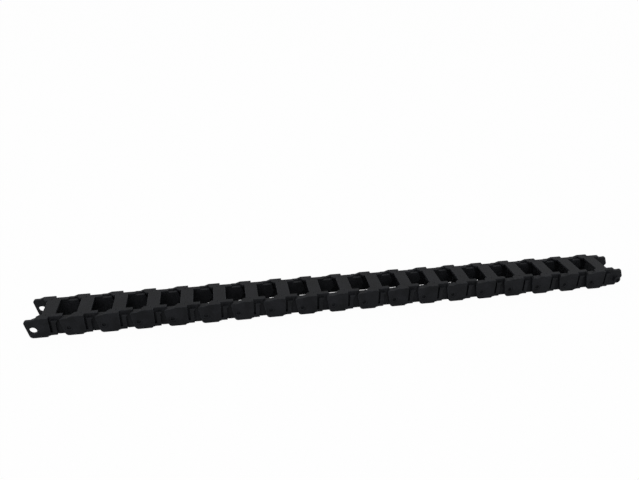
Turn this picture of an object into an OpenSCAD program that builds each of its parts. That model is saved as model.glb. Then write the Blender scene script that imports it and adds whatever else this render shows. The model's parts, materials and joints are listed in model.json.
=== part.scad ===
// Cable drag chain: a row of one-piece moulded links. Each link carries outer ears with
// pin holes on its left and inner ears with snap pins on its right, joined by a top bar
// and a bottom bar. The links bend upwards to the bend radius and stay straight downwards.
// X runs along the chain, Y across it, and Z up. The origin is under the chain's middle,
// on the surface that the chain lies on.

/* [Chain] */
// Number of links in the row
link_count = 19; // [3:1:30]
// Distance between two hinge pins
pitch = 20; // [19.5:0.1:21]
// Smallest bend radius, measured at the pins
bend_radius = 38; // [36:1:60]

/* [Link] */
// Width over the outer ears
link_w = 25; // [22:0.5:40]
// Thickness of an outer ear
outer_t = 2; // [1.6:0.1:2.4]
// Thickness of an inner ear
inner_t = 2.2; // [1.6:0.1:2.6]
// Gap between an outer ear and the inner ear beside it
side_gap = 0.3; // [0.2:0.05:0.5]
// Height of the pin centres above the link's underside
pin_z = 5.3; // [5.2:0.1:5.6]
// Thickness of the top bar and the bottom bar
bar_t = 1.6; // [1.2:0.1:2]
// Length of the top bar, along the chain
top_bar_l = 9.3; // [8.5:0.1:10]
// Length of the bottom bar, along the chain
bottom_bar_l = 7.6; // [6:0.1:8]

/* [Hinge] */
// Diameter of the snap pins
pin_d = 4.5; // [4:0.1:5]
// Running clearance around a pin, on the radius
pin_clearance = 0.05; // [0.02:0.01:0.1]
// How far a pin's end stays below the outer ear's face
pin_recess = 0.5; // [0.3:0.1:0.8]
// Turn left over before the bend stop closes, in degrees
stop_play = 0.7; // [0.4:0.1:2]

/* [Hidden] */
function link_name(i) = str("link_", i < 10 ? "0" : "", i);

$fn = 64;
plastic = "#232427";

// How far a cut runs past a face, and how deep joined shapes run into each other
past = 1;
joined = 0.5;

// Faces across the link, measured from its middle plane
outer_face = link_w / 2;
outer_back = outer_face - outer_t;
inner_face = outer_back - side_gap;
inner_back = inner_face - inner_t;
channel_side = inner_back - side_gap;

// Heights, measured from the pins
underside = -pin_z;
inner_underside = underside + 0.3;
bar_top = 7.2;
lip_t = 1;
lip_under = bar_top - lip_t;
inner_top = 5.9;
heel_top = 6.6;

// Stations along the link, measured from its own pin holes
top_bar_x = 4.3;
bottom_bar_x = 5.2;
wall_end = pitch / 2 + 0.25;
step_x = 7.75;
lip_end = pitch - 4.8;

// The bend stop: a shoulder on the outer ear meets the end of the neighbour's lip,
// so the shoulder is the lip's end face, turned about the pin by the stop's angle
stop_angle = 2 * asin(pitch / (2 * bend_radius)) + stop_play;
shoulder_low = turned([lip_end - pitch, lip_under], stop_angle);
shoulder_high = turned([lip_end - pitch, bar_top], stop_angle);
ear_top = shoulder_high.y;

// The outer ear's end leans back, so that it clears the block below the lip
ear_lean = 18;
ear_round = 1.12;
ear_tip = [-3.3, 3.9];
ear_tip_end = 135;
ear_side_l = (ear_tip.y - underside - ear_round) / cos(ear_lean);
ear_foot = ear_tip + ear_side_l * [sin(ear_lean), -cos(ear_lean)];
foot_cut = 1.1;

// The inner ear, measured from its own pin: a heel that holds the chain straight,
// a blunt nose, and a foot that steps up to make room for the neighbour's ear
heel_x = [1.2, 2.6];
nose = [3.12, 1.6];
nose_round = 1.3;
nose_start = 20;
nose_end = -35;
inner_foot_x = 0.2;
notch_x = [-8, -6.4];
notch_top = inner_underside + 1.4;

// The block beside the neighbour's ear, behind a narrow groove
groove_w = 1.25;
block_face = outer_face - 0.4;
block_top = 4.9;
sweep_centre = [1, 1];
sweep_r = 7.65;

// The pads that the heels rest under
pad_tip_x = [4.6, 6];
pad_root_x = [heel_x[0], 7.5];
pad_root_l = 0.6;

// Broken edges
bar_cut = 0.4;
mouth_cut = 0.3;
pin_bevel = 25;

function turned(p, a) = [p.x * cos(a) + p.y * sin(a), p.y * cos(a) - p.x * sin(a)];
function arc(centre, r, from, to, steps = 6) =
    [for (k = [0 : steps]) centre + r * [cos(from + (to - from) * k / steps),
                                         sin(from + (to - from) * k / steps)]];

module both_sides() {
    children();
    mirror([0, 1, 0]) children();
}

// A side wall: an outline of X and Z, between two distances from the middle plane
module side_wall(outline, near, far) {
    translate([0, -near, 0])
        rotate([90, 0, 0])
            linear_extrude(far - near)
                polygon(outline);
}

// A round bar along Y, between two distances from the middle plane
module side_rod(x, z, d, near, far) {
    translate([x, -near, z])
        rotate([90, 0, 0])
            cylinder(d = d, h = far - near);
}

// The outer ear, with its pin hole broken at the mouth
module outer_ear() {
    hole_d = pin_d + 2 * pin_clearance;
    lean_arc = arc(ear_foot, ear_round, 270, 180 + ear_lean);
    tip_arc = arc(ear_tip, ear_round, 180 + ear_lean, ear_tip_end);
    rest = [shoulder_low, shoulder_high, [wall_end, ear_top], [wall_end, underside + foot_cut],
            [wall_end - foot_cut, underside]];
    difference() {
        side_wall(concat(lean_arc, tip_arc, rest), outer_back, outer_face);
        side_rod(0, 0, hole_d, outer_back - past, outer_face + past);
        translate([0, -outer_face, 0])
            rotate([-90, 0, 0])
                cylinder(d1 = hole_d + 2 * mouth_cut, d2 = hole_d, h = mouth_cut);
    }
}

// The inner ear, drawn about its own pin and moved out to it
module inner_ear() {
    top = [[step_x - pitch, lip_under], [lip_end - pitch, lip_under],
           [lip_end - pitch, inner_top], [heel_x[0] - heel_top + inner_top, inner_top],
           [heel_x[0], heel_top], [heel_x[1], heel_top]];
    foot = [[inner_foot_x, inner_underside], [notch_x[1], inner_underside],
            [notch_x[0], notch_top], [step_x - pitch, notch_top]];
    translate([pitch, 0, 0])
        side_wall(concat(top, arc(nose, nose_round, nose_start, nose_end), foot),
                  inner_back, inner_face);
}

// The wall that steps in from the outer ear to the inner ear
module step_wall() {
    side_wall([[step_x, lip_under + joined], [wall_end, lip_under + joined],
               [wall_end, underside + foot_cut], [wall_end - foot_cut, underside],
               [step_x, underside]],
              channel_side, outer_face);
}

// The lip carries the top bar's end out over the neighbour's ear and takes the bend stop
module lip() {
    side_wall([[step_x, lip_under], [lip_end, lip_under], [lip_end, bar_top],
               [step_x, bar_top]],
              channel_side, outer_face);
}

// The block beside the neighbour's ear, cut to the path that the ear sweeps
module sweep_block() {
    block_x = wall_end + groove_w;
    difference() {
        side_wall([[block_x, block_top], [pitch, block_top],
                   [pitch, notch_top], [block_x, notch_top]],
                  inner_face - joined, block_face);
        side_rod(pitch + sweep_centre.x, sweep_centre.y, 2 * sweep_r, inner_face, outer_face);
    }
}

// The snap pin, with a bevel on the side that enters the neighbour's hole first
module snap_pin() {
    pin_end = outer_face - pin_recess;
    difference() {
        side_rod(pitch, 0, pin_d, inner_face - joined, pin_end);
        translate([pitch, -pin_end, 0])
            rotate([0, 0, pin_bevel])
                translate([0, -pin_d, -pin_d])
                    cube([2 * pin_d, pin_d, 2 * pin_d]);
    }
}

// The pad that the neighbour's heel rests under when the chain is straight
module heel_pad() {
    root = outer_back + joined;
    shelf = outer_back - pad_root_l;
    translate([0, 0, heel_top])
        linear_extrude(ear_top - heel_top)
            polygon([[pad_root_x[0], -root], [pad_root_x[0], -shelf],
                     [pad_tip_x[0], -channel_side], [pad_tip_x[1], -channel_side],
                     [pad_root_x[1], -shelf], [pad_root_x[1], -root]]);
}

// A bar across the link from one station to another, with its edges broken
module cross_bar(from, to, z, reach) {
    translate([0, reach, z])
        rotate([90, 0, 0])
            linear_extrude(2 * reach)
                polygon([[from, bar_cut], [from + bar_cut, 0], [to - bar_cut, 0], [to, bar_cut],
                         [to, bar_t - bar_cut], [to - bar_cut, bar_t], [from + bar_cut, bar_t],
                         [from, bar_t - bar_cut]]);
}

// Each bar is wider past the step, where it meets the inner ears
module top_bar() {
    end = top_bar_x + top_bar_l;
    cross_bar(top_bar_x, end, bar_top - bar_t, channel_side);
    cross_bar(step_x + joined, end, bar_top - bar_t, inner_face);
}

module bottom_bar() {
    end = bottom_bar_x + bottom_bar_l;
    cross_bar(bottom_bar_x, end, underside, channel_side);
    cross_bar(step_x + joined, end, underside, inner_face);
}

module chain_link(i) {
    hole_x = (i - 1 - link_count / 2) * pitch;
    color(plastic)
        translate([hole_x, 0, pin_z]) {
            both_sides() {
                outer_ear();
                step_wall();
                inner_ear();
                lip();
                sweep_block();
                snap_pin();
                heel_pad();
            }
            top_bar();
            bottom_bar();
        }
}

for (i = [1 : link_count])
    chain_link(i);
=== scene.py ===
import json
import math
import bmesh
import bpy
from mathutils import Matrix, Vector


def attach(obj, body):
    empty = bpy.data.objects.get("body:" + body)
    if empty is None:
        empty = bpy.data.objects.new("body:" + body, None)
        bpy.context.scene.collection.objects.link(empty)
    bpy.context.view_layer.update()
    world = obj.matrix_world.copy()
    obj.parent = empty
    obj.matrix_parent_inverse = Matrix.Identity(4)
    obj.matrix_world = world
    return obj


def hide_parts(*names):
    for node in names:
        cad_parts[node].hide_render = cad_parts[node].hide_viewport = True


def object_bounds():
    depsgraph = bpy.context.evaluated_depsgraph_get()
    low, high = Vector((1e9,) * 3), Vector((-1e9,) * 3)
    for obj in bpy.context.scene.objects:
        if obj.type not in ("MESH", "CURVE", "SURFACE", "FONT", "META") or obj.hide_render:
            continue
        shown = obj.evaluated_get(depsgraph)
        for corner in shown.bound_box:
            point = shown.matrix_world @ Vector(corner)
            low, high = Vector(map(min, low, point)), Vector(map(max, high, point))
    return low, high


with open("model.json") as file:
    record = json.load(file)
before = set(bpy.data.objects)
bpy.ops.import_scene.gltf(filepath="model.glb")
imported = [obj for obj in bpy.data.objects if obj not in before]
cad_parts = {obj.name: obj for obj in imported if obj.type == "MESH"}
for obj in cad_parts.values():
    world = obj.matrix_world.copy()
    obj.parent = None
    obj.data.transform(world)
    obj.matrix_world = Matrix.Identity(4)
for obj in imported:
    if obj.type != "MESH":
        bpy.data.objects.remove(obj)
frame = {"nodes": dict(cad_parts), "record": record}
cad_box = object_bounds()

# The chain's rhythm comes from the frame: the hinges give the pitch and the pin height.
MM = 0.001
LINKS = sorted(frame["nodes"])
HINGE_AT = [Vector(joint["pos_m"]) for joint in frame["record"]["behaviour"]["joints"]]
PITCH = (HINGE_AT[1].x - HINGE_AT[0].x) / MM
PIN_HEIGHT = HINGE_AT[0].z / MM
HALF_WIDTH = cad_box[1].y / MM

# Thicknesses in millimetres, how deep joined solids run into each other, and how far a cut runs past.
WALL = 2.0
INNER_WALL = 2.2
BAR = 1.6
GAP = 0.3
JOINED = 0.5
PAST = 1.0

# Faces across the link, in millimetres from its middle plane.
OUTER_BACK = HALF_WIDTH - WALL
INNER_FACE = OUTER_BACK - GAP
INNER_BACK = INNER_FACE - INNER_WALL
CHANNEL_SIDE = INNER_BACK - GAP
DECK_SIDE = 10.4
BLOCK_FACE = HALF_WIDTH - 0.4
PAD_SHOULDER = 9.3
PAD_ROOT = OUTER_BACK - 0.6
PAD_SUNK = HALF_WIDTH - 1.0
PIN_END = HALF_WIDTH - 0.15
DIMPLE_FLOOR = HALF_WIDTH - 1.0

# Heights, in millimetres from the pins.
UNDERSIDE = -PIN_HEIGHT
INNER_UNDERSIDE = UNDERSIDE + GAP
TOP = 7.9
LIP_UNDER = 6.7
INNER_TOP = 6.4
HEEL_TOP = 6.6
HEEL_FACE = HEEL_TOP - 0.05
BLOCK_TOP = 5.4
GROOVE_FOOT = -2.6
NOTCH_TOP = UNDERSIDE + 0.9
WALL_STEP = UNDERSIDE + 0.9
WALL_STEP_LOW = WALL_STEP - 0.1

# Stations along the link, in millimetres from its own pin holes. A pair is where a form starts and ends.
STEP_X = 7.75
FOOT_BACK = STEP_X - 0.3
WALL_END = 9.3
LIP_END = PITCH - 3.0
TOP_BAR = (5.0, 12.75)
BOTTOM_BAR = (5.2, 12.8)
BLOCK = (10.7, 13.0)
EAR_RAMP = (-0.5, 2.2)
PAD_START = 2.3
PAD_TIP = (4.0, 6.4)
NOTCH = (PITCH - 8.0, PITCH - 6.4)
HEEL = (PITCH + 1.2, PITCH + 2.6)
NOSE_FOOT = PITCH + 0.2

# Rounds: centres as a station and a height, radii and diameters in millimetres, angles in degrees.
EAR_TIP = (-2.9, 5.4)
EAR_ROUND = 1.5
EAR_LEAN = 11.0
FOOT_ROUND = 2.4
NOSE = (PITCH + 3.12, 1.6)
NOSE_ROUND = 1.3
NOSE_ANGLES = (20, -35)
PIN_D = 4.5
HOLE_D = 4.6
DIMPLE_D = 2.4

# Broken edges: how far each is cut back, and the angle from which an edge counts as sharp.
EDGE_CUT = 0.22
INSIDE_CUT = 0.15
PIN_CUT = 0.12
BAR_CUT = 0.35
SHARP = math.radians(30)

# Points of the joined link that lie closer than this, in millimetres, become one.
WELD = 0.0005

# The table's half width in metres, and the share of its paper white that the camera sees.
TABLE_HALF = 3.0
TABLE_SEEN = 0.97

# The light: the room's soft fill, the softboxes' size in metres, and each one's place in metres and
# its power in watts.
WHITE = (1.0, 1.0, 1.0, 1.0)
ROOM_FILL = 0.75
SOFTBOX = (0.9, 0.6)
SOFTBOXES = {"key softbox behind": ((-0.15, 0.75, 0.85), 0.6), "front fill": ((-0.4, -0.8, 0.7), 2.0)}


def linear(code):
    """An sRGB hex colour as linear RGBA."""
    parts = [int(code[i:i + 2], 16) / 255 for i in (1, 3, 5)]
    return tuple(c / 12.92 if c <= 0.04045 else ((c + 0.055) / 1.055) ** 2.4 for c in parts) + (1.0,)


def add(tree, kind, inputs=None, **settings):
    """Adds a node with its settings. An input is linked to a socket, or holds a value of its own."""
    node = tree.nodes.new(kind)
    for name, value in settings.items():
        setattr(node, name, value)
    for name, given in (inputs or {}).items():
        if isinstance(given, bpy.types.NodeSocket):
            tree.links.new(given, node.inputs[name])
        else:
            node.inputs[name].default_value = given
    return node


def new_material(name):
    """An empty material, ready for its nodes."""
    material = bpy.data.materials.new(name)
    material.use_nodes = True
    material.node_tree.nodes.clear()
    return material


def arc(centre, radius, start, end, steps=8):
    """Points on an arc, in millimetres and degrees."""
    turn = [math.radians(start + (end - start) * k / steps) for k in range(steps + 1)]
    return [(centre[0] + radius * math.cos(a), centre[1] + radius * math.sin(a)) for a in turn]


# ---------------------------------------------------------------- the link's solids

def plate(outline, low, high, across, cut=EDGE_CUT):
    """A flat solid from an outline in millimetres, with its sharp edges rounded over.
    Across is "y" for an outline of x and z, and "z" for an outline of x and y."""
    place = {"y": lambda a, b, t: (a, t, b), "z": lambda a, b, t: (a, b, t)}[across]
    work = bmesh.new()
    rows = [[work.verts.new(place(a, b, t)) for a, b in outline] for t in (low, high)]
    work.faces.new(rows[0])
    work.faces.new(rows[1])
    count = len(outline)
    for k in range(count):
        n = (k + 1) % count
        work.faces.new((rows[0][k], rows[0][n], rows[1][n], rows[1][k]))
    return finished(work, cut)


def rod(x, z, diameter, low, high, cut=0.0, steps=48):
    """A round solid across the link, in millimetres."""
    return plate(arc((x, z), diameter / 2, 0, 360 - 360 / steps, steps - 1), low, high, "y", cut)


def finished(work, cut):
    """Turns the faces outwards and rounds the sharp edges. The two empty material slots let a
    rounded edge's faces keep their mark, which is the second slot, through the joins."""
    bmesh.ops.recalc_face_normals(work, faces=work.faces)
    if cut:
        sharp = [e for e in work.edges if e.calc_face_angle() > SHARP]
        bmesh.ops.bevel(work, geom=sharp, offset=cut, offset_type="OFFSET", segments=3, profile=0.5,
                        affect="EDGES", clamp_overlap=True, material=1)
    mesh = bpy.data.meshes.new("solid")
    work.to_mesh(mesh)
    work.free()
    for _ in range(2):
        mesh.materials.append(None)
    return bpy.data.objects.new("solid", mesh)


def outer_wall(side):
    """The outer ear and the wall behind it, in one outline."""
    lean = math.radians(EAR_LEAN)
    drop = EAR_TIP[1] - UNDERSIDE - FOOT_ROUND
    inset = (FOOT_ROUND - EAR_ROUND) / math.cos(lean)
    foot = (EAR_TIP[0] + drop * math.tan(lean) + inset, UNDERSIDE + FOOT_ROUND)
    outline = [(FOOT_BACK, UNDERSIDE), *arc(foot, FOOT_ROUND, 270, 180 + EAR_LEAN),
               *arc(EAR_TIP, EAR_ROUND, 180 + EAR_LEAN, 90),
               (EAR_RAMP[0], EAR_TIP[1] + EAR_ROUND), (EAR_RAMP[1], TOP),
               (WALL_END, TOP), (WALL_END, WALL_STEP), (STEP_X + JOINED, WALL_STEP_LOW)]
    return plate(outline, side * OUTER_BACK, side * HALF_WIDTH, "y")


def step_wall(side):
    """The wall that steps in from the outer ear to the inner ear."""
    outline = [(STEP_X, WALL_STEP), (WALL_END, WALL_STEP), (WALL_END, TOP), (STEP_X, TOP)]
    return plate(outline, side * CHANNEL_SIDE, side * HALF_WIDTH, "y")


def inner_wall(side):
    """The inner ear, with the heel that holds the chain straight and its blunt nose."""
    outline = [(STEP_X, INNER_UNDERSIDE), (STEP_X, TOP - JOINED), (LIP_END - JOINED, TOP - JOINED),
               (LIP_END - JOINED, INNER_TOP), (HEEL[0] - HEEL_TOP + INNER_TOP, INNER_TOP),
               (HEEL[0], HEEL_FACE), (HEEL[1], HEEL_FACE), *arc(NOSE, NOSE_ROUND, *NOSE_ANGLES, steps=6),
               (NOSE_FOOT, INNER_UNDERSIDE), (NOTCH[1], INNER_UNDERSIDE), (NOTCH[0], NOTCH_TOP),
               (STEP_X + JOINED, NOTCH_TOP), (STEP_X + JOINED, INNER_UNDERSIDE)]
    return plate(outline, side * INNER_BACK, side * INNER_FACE, "y", INSIDE_CUT)


def deck(side):
    """The lip that carries the top bar out over the inner ear."""
    outline = [(STEP_X, CHANNEL_SIDE), (LIP_END, CHANNEL_SIDE), (LIP_END, DECK_SIDE), (STEP_X, DECK_SIDE)]
    return plate([(x, side * y) for x, y in outline], LIP_UNDER, TOP, "z")


def block(side):
    """The block beside the neighbour's ear, cut to the ear's sweep and joined to the wall below
    the groove."""
    sweep = math.hypot(*EAR_TIP) + EAR_ROUND + GAP
    start = math.degrees(math.acos((BLOCK[1] - PITCH) / sweep))
    end = 180 - math.degrees(math.asin(BLOCK_TOP / sweep))
    outline = [(WALL_END - JOINED, NOTCH_TOP), (BLOCK[1], NOTCH_TOP), *arc((PITCH, 0), sweep, start, end),
               (BLOCK[0], BLOCK_TOP), (BLOCK[0], GROOVE_FOOT), (WALL_END - JOINED, GROOVE_FOOT)]
    return plate(outline, side * (INNER_FACE - JOINED), side * BLOCK_FACE, "y")


def heel_pad(side):
    """The pad that the neighbour's heel rests under."""
    outline = [(PAD_START, PAD_SHOULDER), (PAD_TIP[0], CHANNEL_SIDE), (PAD_TIP[1], CHANNEL_SIDE),
               (STEP_X + JOINED, PAD_ROOT), (STEP_X + JOINED, PAD_SUNK), (EAR_RAMP[1], PAD_SUNK),
               (PAD_START, OUTER_BACK)]
    return plate([(x, side * y) for x, y in outline], HEEL_TOP, TOP, "z", INSIDE_CUT)


def snap_pin(side):
    """The snap pin, with a small dimple in the middle of its end."""
    pin = rod(PITCH, 0, PIN_D, side * (INNER_FACE - JOINED), side * PIN_END, PIN_CUT)
    dimple = rod(PITCH, 0, DIMPLE_D, side * DIMPLE_FLOOR, side * (HALF_WIDTH + JOINED))
    return combine(pin, [dimple], "DIFFERENCE")


def crossbar(stations, low, reach):
    """A bar across the link."""
    start, end = stations
    outline = [(start, low), (end, low), (end, low + BAR), (start, low + BAR)]
    return plate(outline, -reach, reach, "y", BAR_CUT)


def combine(first, others, operation):
    """Joins solids into one closed mesh, or cuts the others out of the first."""
    group = bpy.data.collections.new("others")
    bpy.context.scene.collection.children.link(group)
    bpy.context.scene.collection.objects.link(first)
    for other in others:
        group.objects.link(other)
    modifier = first.modifiers.new("combine", "BOOLEAN")
    modifier.operation = operation
    modifier.operand_type = "COLLECTION"
    modifier.collection = group
    modifier.solver = "EXACT"
    evaluated = first.evaluated_get(bpy.context.evaluated_depsgraph_get())
    mesh = bpy.data.meshes.new_from_object(evaluated)
    for solid in [first, *others]:
        bpy.data.objects.remove(solid)
    bpy.data.collections.remove(group)
    return bpy.data.objects.new("joined", mesh)


def moulded_link():
    """One whole link about its own pin holes, in metres, with its edge faces in an attribute."""
    solids = [crossbar(TOP_BAR, TOP - BAR, INNER_BACK + JOINED),
              crossbar(BOTTOM_BAR, UNDERSIDE, CHANNEL_SIDE + JOINED)]
    forms = (outer_wall, step_wall, inner_wall, deck, block, heel_pad, snap_pin)
    for side in (-1, 1):
        solids += [form(side) for form in forms]
    body = combine(solids[0], solids[1:], "UNION")
    hole = rod(0, 0, HOLE_D, -HALF_WIDTH - PAST, HALF_WIDTH + PAST)
    link = combine(body, [hole], "DIFFERENCE")
    work = bmesh.new()
    work.from_mesh(link.data)
    bmesh.ops.remove_doubles(work, verts=work.verts, dist=WELD)
    bmesh.ops.dissolve_degenerate(work, edges=work.edges, dist=WELD)
    bmesh.ops.recalc_face_normals(work, faces=work.faces)
    # The rounded edges' faces are marked here; the material paints them lighter, partly as wear and partly as
    # a painted highlight.
    wear_and_highlight = work.faces.layers.float.new("edge_wear_and_highlight")
    for face in work.faces:
        face[wear_and_highlight] = 1.0 if face.material_index == 1 else 0.0
        face.material_index = 0
    work.to_mesh(link.data)
    work.free()
    link.data.transform(Matrix.Scale(MM, 4))
    link.name = "link_pattern"
    return link


# ---------------------------------------------------------------- the row of links

def row_tree():
    """Geometry Nodes that set one link of the row in its place and give it its finish. The row's
    middle is at x = 0, so link n's pin holes are at (n - count / 2 - 1) pitches."""
    tree = bpy.data.node_groups.new("link in the row", "GeometryNodeTree")
    for name, kind, default in (("Link", "NodeSocketObject", None),
                                ("Number", "NodeSocketInt", 1),
                                ("Count", "NodeSocketInt", len(LINKS)),
                                ("Pitch", "NodeSocketFloat", PITCH * MM),
                                ("Pin height", "NodeSocketFloat", PIN_HEIGHT * MM),
                                ("Finish", "NodeSocketMaterial", None)):
        socket = tree.interface.new_socket(name, in_out="INPUT", socket_type=kind)
        if default is not None:
            socket.default_value = default
    tree.interface.new_socket("Geometry", in_out="OUTPUT", socket_type="NodeSocketGeometry")
    given = add(tree, "NodeGroupInput").outputs
    half = add(tree, "ShaderNodeMath", {0: given["Count"], 1: -0.5}, operation="MULTIPLY")
    before = add(tree, "ShaderNodeMath", {0: given["Number"], 1: half.outputs[0]}, operation="ADD")
    place = add(tree, "ShaderNodeMath", {0: before.outputs[0], 1: 1.0}, operation="SUBTRACT")
    along = add(tree, "ShaderNodeMath", {0: place.outputs[0], 1: given["Pitch"]}, operation="MULTIPLY")
    spot = add(tree, "ShaderNodeCombineXYZ", {"X": along.outputs[0], "Z": given["Pin height"]})
    one = add(tree, "GeometryNodeMeshLine", {"Count": 1, "Start Location": spot.outputs[0]},
              mode="OFFSET", count_mode="TOTAL")
    pattern = add(tree, "GeometryNodeObjectInfo", {"Object": given["Link"]})
    row = add(tree, "GeometryNodeInstanceOnPoints",
              {"Points": one.outputs[0], "Instance": pattern.outputs["Geometry"]})
    real = add(tree, "GeometryNodeRealizeInstances", {"Geometry": row.outputs[0]})
    dressed = add(tree, "GeometryNodeSetMaterial", {"Geometry": real.outputs[0], "Material": given["Finish"]})
    add(tree, "NodeGroupOutput", {"Geometry": dressed.outputs[0]})
    return tree


def set_link(tree, pattern, number, node, finish):
    """Makes the visible link that stands for one node of the frame and rides on its body."""
    holder = bpy.data.objects.new("holder", bpy.data.meshes.new("holder"))
    bpy.context.scene.collection.objects.link(holder)
    modifier = holder.modifiers.new("row", "NODES")
    modifier.node_group = tree
    sizes = {"Link": pattern, "Number": number, "Count": len(LINKS), "Pitch": PITCH * MM,
             "Pin height": PIN_HEIGHT * MM, "Finish": finish}
    for item in tree.interface.items_tree:
        if item.in_out == "INPUT":
            modifier[item.identifier] = sizes[item.name]
    evaluated = holder.evaluated_get(bpy.context.evaluated_depsgraph_get())
    mesh = bpy.data.meshes.new_from_object(evaluated)
    holder.modifiers.remove(modifier)
    bpy.data.objects.remove(holder)
    mesh.name = "moulded_" + node
    piece = bpy.data.objects.new("moulded_" + node, mesh)
    bpy.context.scene.collection.objects.link(piece)
    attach(piece, node)
    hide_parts(node)


# ---------------------------------------------------------------- materials

def moulded_nylon():
    """Black glass-filled nylon, injection moulded: a nearly black, faintly blue surface with a soft
    sheen, a fine spark-eroded grain, cloudy flow marks from the glass fibre and smoother rubbed edges,
    whose lighter colour is partly wear and partly a painted highlight where the edges catch the light.
    The real grain is finer than would show, so it is drawn coarser. The IOR is typical of nylon, and the
    specular level is well below the usual 0.5, to match how little the surface reflects."""
    grain_mm, cloud_mm, rub_and_highlight_mm = 0.55, 7.0, 1.6
    rubbed_smoother = 0.14
    tones = ((0.36, "#151618"), (0.66, "#1e1f22"))
    # The lighter colour of the rubbed edges: partly wear, partly a painted highlight.
    rubbed_highlight_tone = "#2b2d31"
    material = new_material("injection moulded black nylon")
    tree = material.node_tree
    where = add(tree, "ShaderNodeTexCoord").outputs["Object"]
    grain = add(tree, "ShaderNodeTexNoise",
                {"Vector": where, "Scale": 1 / (grain_mm * MM), "Detail": 3.0, "Roughness": 0.65})
    cloud = add(tree, "ShaderNodeTexNoise",
                {"Vector": where, "Scale": 1 / (cloud_mm * MM), "Detail": 4.0, "Roughness": 0.6})
    rub_and_highlight = add(tree, "ShaderNodeTexNoise",
              {"Vector": where, "Scale": 1 / (rub_and_highlight_mm * MM), "Detail": 3.0, "Roughness": 0.7})
    edge = add(tree, "ShaderNodeAttribute", attribute_name="edge_wear_and_highlight")
    patchy = add(tree, "ShaderNodeMapRange",
                 {"Value": rub_and_highlight.outputs["Fac"], "From Min": 0.42, "From Max": 0.62})
    worn_and_highlit = add(tree, "ShaderNodeMath", {0: patchy.outputs[0], 1: edge.outputs["Fac"]}, operation="MULTIPLY")
    base = add(tree, "ShaderNodeValToRGB", {"Fac": cloud.outputs["Fac"]})
    for element, (position, colour) in zip(base.color_ramp.elements, tones):
        element.position = position
        element.color = linear(colour)
    # The sockets 0, 6 and 7 are the factor and the two colours of a mix of colours.
    # Mixes in the lighter rubbed-edge colour, which is partly wear and partly a painted highlight.
    tint_with_highlight = add(tree, "ShaderNodeMix", {0: worn_and_highlit.outputs[0], 6: base.outputs[0], 7: linear(rubbed_highlight_tone)},
               data_type="RGBA")
    rough = add(tree, "ShaderNodeMapRange", {"Value": cloud.outputs["Fac"], "To Min": 0.48, "To Max": 0.66})
    smoother = add(tree, "ShaderNodeMath", {0: worn_and_highlit.outputs[0], 1: rubbed_smoother}, operation="MULTIPLY")
    shine = add(tree, "ShaderNodeMath", {0: rough.outputs[0], 1: smoother.outputs[0]}, operation="SUBTRACT")
    bump = add(tree, "ShaderNodeBump",
               {"Height": grain.outputs["Fac"], "Strength": 0.22, "Distance": 0.00008})
    waves = add(tree, "ShaderNodeBump",
                {"Height": cloud.outputs["Fac"], "Normal": bump.outputs[0], "Strength": 0.15,
                 "Distance": 0.0006})
    shader = add(tree, "ShaderNodeBsdfPrincipled",
                 {"Base Color": tint_with_highlight.outputs[2], "Roughness": shine.outputs[0], "Normal": waves.outputs[0],
                  "IOR": 1.53, "Specular IOR Level": 0.08})
    add(tree, "ShaderNodeOutputMaterial", {"Surface": shader.outputs[0]})
    return material


def table_white():
    """A matt white table that the camera sees as paper white, with a faint contact shadow."""
    material = new_material("matt white table")
    tree = material.node_tree
    matt = add(tree, "ShaderNodeBsdfDiffuse", {"Color": linear("#e8e8e8")})
    bright = add(tree, "ShaderNodeEmission", {"Color": WHITE, "Strength": 1.0})
    rays = add(tree, "ShaderNodeLightPath")
    share = add(tree, "ShaderNodeMath", {0: rays.outputs["Is Camera Ray"], 1: TABLE_SEEN},
                operation="MULTIPLY")
    mix = add(tree, "ShaderNodeMixShader", {0: share.outputs[0], 1: matt.outputs[0], 2: bright.outputs[0]})
    add(tree, "ShaderNodeOutputMaterial", {"Surface": mix.outputs[0]})
    return material


# ---------------------------------------------------------------- stage, light and camera

def table():
    """The table top that the chain lies on."""
    corners = [(x * TABLE_HALF, y * TABLE_HALF, 0) for x, y in ((-1, -1), (1, -1), (1, 1), (-1, 1))]
    mesh = bpy.data.meshes.new("floor")
    mesh.from_pydata(corners, [], [(0, 1, 2, 3)])
    floor = bpy.data.objects.new("floor", mesh)
    bpy.context.scene.collection.objects.link(floor)
    mesh.materials.append(table_white())


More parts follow.
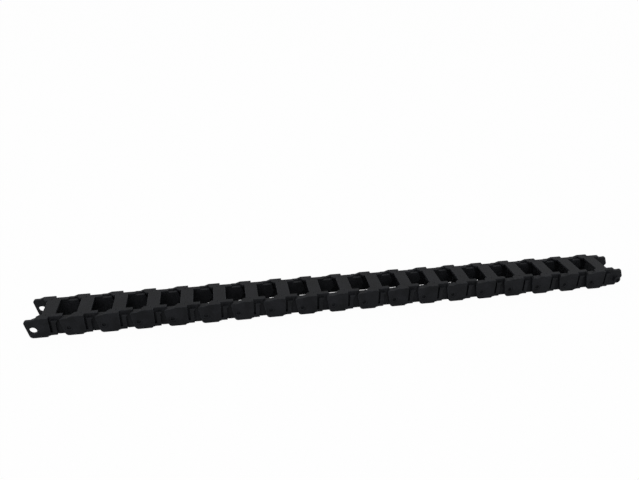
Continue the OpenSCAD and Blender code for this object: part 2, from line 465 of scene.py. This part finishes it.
def studio():
    """A plain room: a soft fill for the object, and white where the camera or a gloss looks."""
    world = bpy.data.worlds.new("studio")
    bpy.context.scene.world = world
    world.use_nodes = True
    tree = world.node_tree
    tree.nodes.clear()
    rays = add(tree, "ShaderNodeLightPath").outputs
    soft = add(tree, "ShaderNodeBackground", {"Color": WHITE, "Strength": ROOM_FILL})
    white = add(tree, "ShaderNodeBackground", {"Color": WHITE, "Strength": 1.0})
    direct = add(tree, "ShaderNodeMath", {0: rays["Is Camera Ray"], 1: rays["Is Glossy Ray"]},
                 operation="MAXIMUM")
    seen = add(tree, "ShaderNodeMath", {0: direct.outputs[0], 1: rays["Is Transmission Ray"]},
               operation="MAXIMUM")
    mix = add(tree, "ShaderNodeMixShader", {0: seen.outputs[0], 1: soft.outputs[0], 2: white.outputs[0]})
    add(tree, "ShaderNodeOutputWorld", {"Surface": mix.outputs[0]})


def lamp(name, at, watts):
    """A softbox that faces the middle of the chain."""
    data = bpy.data.lights.new(name, "AREA")
    data.shape = "RECTANGLE"
    data.size, data.size_y = SOFTBOX
    data.energy = watts
    softbox = bpy.data.objects.new(name, data)
    bpy.context.scene.collection.objects.link(softbox)
    softbox.location = at
    softbox.rotation_euler = (-Vector(at)).to_track_quat("-Z", "Y").to_euler()


def camera():
    """Looks down the chain from its near left end, with the chain rising to the upper right. The
    angles are in radians, and the lens is a share of the sensor's width."""
    yaw, tilt, roll = 0.1806, 0.4700, 0.0137
    stand = Vector((-0.0757, -0.3188, 0.2052 + PIN_HEIGHT * MM))
    lens_share, sensor = 0.915, 36.0
    ahead = Vector((math.sin(yaw) * math.cos(tilt), math.cos(yaw) * math.cos(tilt), -math.sin(tilt)))
    level = Vector((math.cos(yaw), -math.sin(yaw), 0))
    upright = level.cross(ahead)
    right = math.cos(roll) * level + math.sin(roll) * upright
    up = math.cos(roll) * upright - math.sin(roll) * level
    data = bpy.data.cameras.new("camera")
    data.sensor_width = sensor
    data.lens = lens_share * sensor
    data.clip_start = 0.01
    eye = bpy.data.objects.new("camera", data)
    bpy.context.scene.collection.objects.link(eye)
    eye.matrix_world = Matrix.Translation(stand) @ Matrix((right, up, -ahead)).transposed().to_4x4()
    bpy.context.scene.camera = eye


# Each moulded link stands for its node of the frame, which gets the same finish.
finish = moulded_nylon()
pattern = moulded_link()
bpy.context.scene.collection.objects.link(pattern)
row = row_tree()
for number, node in enumerate(LINKS, start=1):
    set_link(row, pattern, number, node, finish)
    frame["nodes"][node].data.materials.clear()
    frame["nodes"][node].data.materials.append(finish)
bpy.data.objects.remove(pattern)

table()
studio()
for name, (at, watts) in SOFTBOXES.items():
    lamp(name, at, watts)
camera()
bpy.context.scene.view_settings.view_transform = "Standard"
